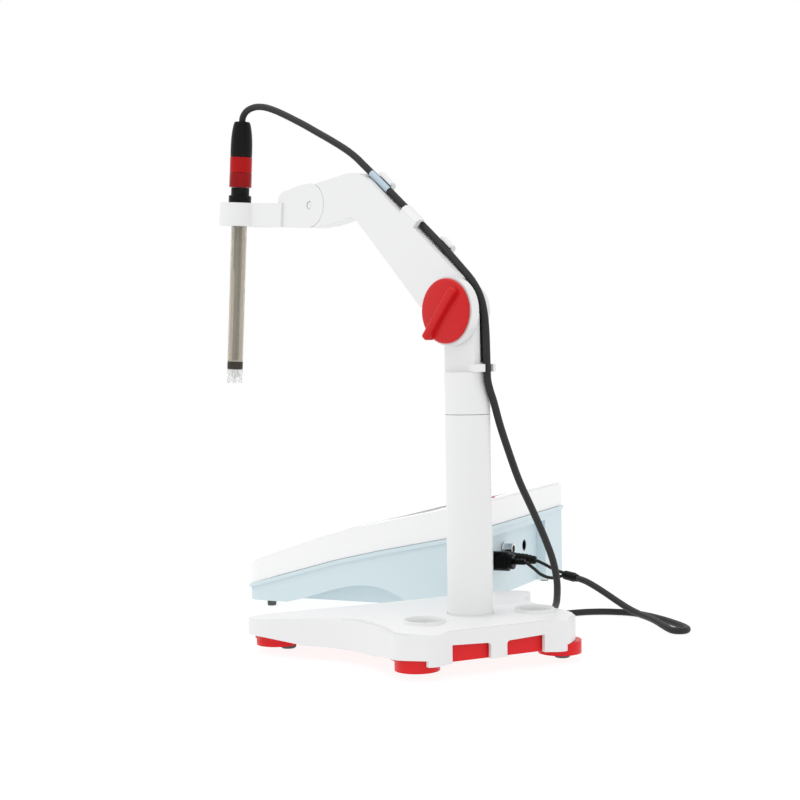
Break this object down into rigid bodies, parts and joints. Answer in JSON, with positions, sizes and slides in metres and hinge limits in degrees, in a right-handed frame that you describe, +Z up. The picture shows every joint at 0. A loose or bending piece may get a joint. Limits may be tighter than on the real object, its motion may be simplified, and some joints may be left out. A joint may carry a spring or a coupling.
{
  "type": "ph meter",
  "caption": "Bench pH meter with sloping display and keypad, beside a weighted stand whose jointed arm holds a glass electrode cabled to the meter's rear socket.",
  "frame": {"origin": "on the table, under the middle of the meter and stand together, the cable left out", "axes": "+Z up, +X along the meter's width towards the stand, +Y from the meter's front to its rear sockets"},
  "size_m": [0.4476, 0.3655, 0.3955],
  "materials": {
    "white": "smooth moulded white",
    "blue": "fine satin, pale blue-grey",
    "red": "smooth moulded red",
    "darkred": "translucent dark red",
    "black": "satin black",
    "cable": "fine woven charcoal",
    "rubber": "soft dark grey",
    "steel": "bright turned",
    "glass": "clear, faintly beige",
    "screen": "clear window over a grey display",
    "key": "soft white key",
    "board": "green circuit board",
    "band": "dark porous ring"
  },
  "bodies": {
    "base": {"base_shell": "white", "base_tray": "red", "base_pad_1": "rubber", "base_pad_2": "rubber", "base_pad_3": "rubber", "base_pad_4": "rubber", "ballast_plate": "steel", "column": "white", "column_bolt": "steel", "column_nut": "steel", "meter_bottom_shell": "blue", "meter_top_cover": "white", "display_window": "screen", "display_module": "board", "main_board": "board", "accent_strip": "red", "electrode_socket": "steel", "spare_socket": "steel", "temperature_socket": "steel", "power_jack": "black", "meter_foot_1": "rubber", "meter_foot_2": "rubber", "meter_foot_3": "rubber", "meter_foot_4": "rubber", "case_screw_1": "steel", "case_screw_2": "steel", "electrode_plug": "black", "temperature_plug": "black", "electrode_lead": "cable", "temperature_lead": "cable", "cable_junction": "black", "cable_loop": "cable", "cable_fall": "cable"},
    "head": {"swivel_head": "white", "swivel_spindle": "steel", "clamp_nut": "steel", "cable_neck": "cable"},
    "arm": {"arm": "white", "cable_arm": "cable"},
    "knob": {"clamp_knob": "red", "clamp_bolt": "steel"},
    "holder": {"electrode_holder": "white", "wrist_pin": "steel", "cable_arc": "cable"},
    "electrode": {"electrode_shaft": "glass", "electrode_inner_tube": "glass", "junction_band": "band", "tip_guard": "glass", "glass_bulb": "glass", "electrode_flange": "black", "electrode_cap": "darkred", "electrode_sleeve": "red", "electrode_boot": "black", "cable_top": "cable"},
    "key_1": {"key_1": "key"},
    "key_2": {"key_2": "key"},
    "key_3": {"key_3": "key"},
    "key_4": {"key_4": "key"},
    "key_5": {"key_5": "key"},
    "key_6": {"key_6": "key"}
  },
  "joints": [
    {"name": "swivel", "type": "hinge", "parent": "base", "child": "head", "pos_m": [0.14566, 0.09311, 0.1641], "axis": [0, 0, 1], "range_deg": [-5, 175], "deforming": ["cable_fall"]},
    {"name": "arm_pitch", "type": "hinge", "parent": "head", "child": "arm", "pos_m": [0.14436, 0.08986, 0.232], "axis": [-0.9285, 0.3714, 0], "range_deg": [-40, 30], "deforming": ["cable_neck"]},
    {"name": "knob_turn", "type": "hinge", "parent": "head", "child": "knob", "pos_m": [0.14436, 0.08986, 0.232], "axis": [0.9285, -0.3714, 0], "range_deg": [0, 180]},
    {"name": "wrist", "type": "hinge", "parent": "arm", "child": "holder", "pos_m": [0.08995, -0.04616, 0.313], "axis": [-0.9285, 0.3714, 0], "range_deg": [-10, 35], "deforming": ["cable_arc"]},
    {"name": "electrode_slide", "type": "slide", "parent": "holder", "child": "electrode", "axis": [0.0298, 0.0745, 0.9968], "range_m": [0, 0.06], "deforming": ["cable_top"]},
    {"name": "key_1_press", "type": "slide", "parent": "base", "child": "key_1", "axis": [0, 0.324, -0.946], "range_m": [0, 0.0008], "stiffness_N_per_m": 400},
    {"name": "key_2_press", "type": "slide", "parent": "base", "child": "key_2", "axis": [0, 0.324, -0.946], "range_m": [0, 0.0008], "stiffness_N_per_m": 400},
    {"name": "key_3_press", "type": "slide", "parent": "base", "child": "key_3", "axis": [0, 0.324, -0.946], "range_m": [0, 0.0008], "stiffness_N_per_m": 400},
    {"name": "key_4_press", "type": "slide", "parent": "base", "child": "key_4", "axis": [0, 0.324, -0.946], "range_m": [0, 0.0008], "stiffness_N_per_m": 400},
    {"name": "key_5_press", "type": "slide", "parent": "base", "child": "key_5", "axis": [0, 0.324, -0.946], "range_m": [0, 0.0008], "stiffness_N_per_m": 400},
    {"name": "key_6_press", "type": "slide", "parent": "base", "child": "key_6", "axis": [0, 0.324, -0.946], "range_m": [0, 0.0008], "stiffness_N_per_m": 400}
  ]
}
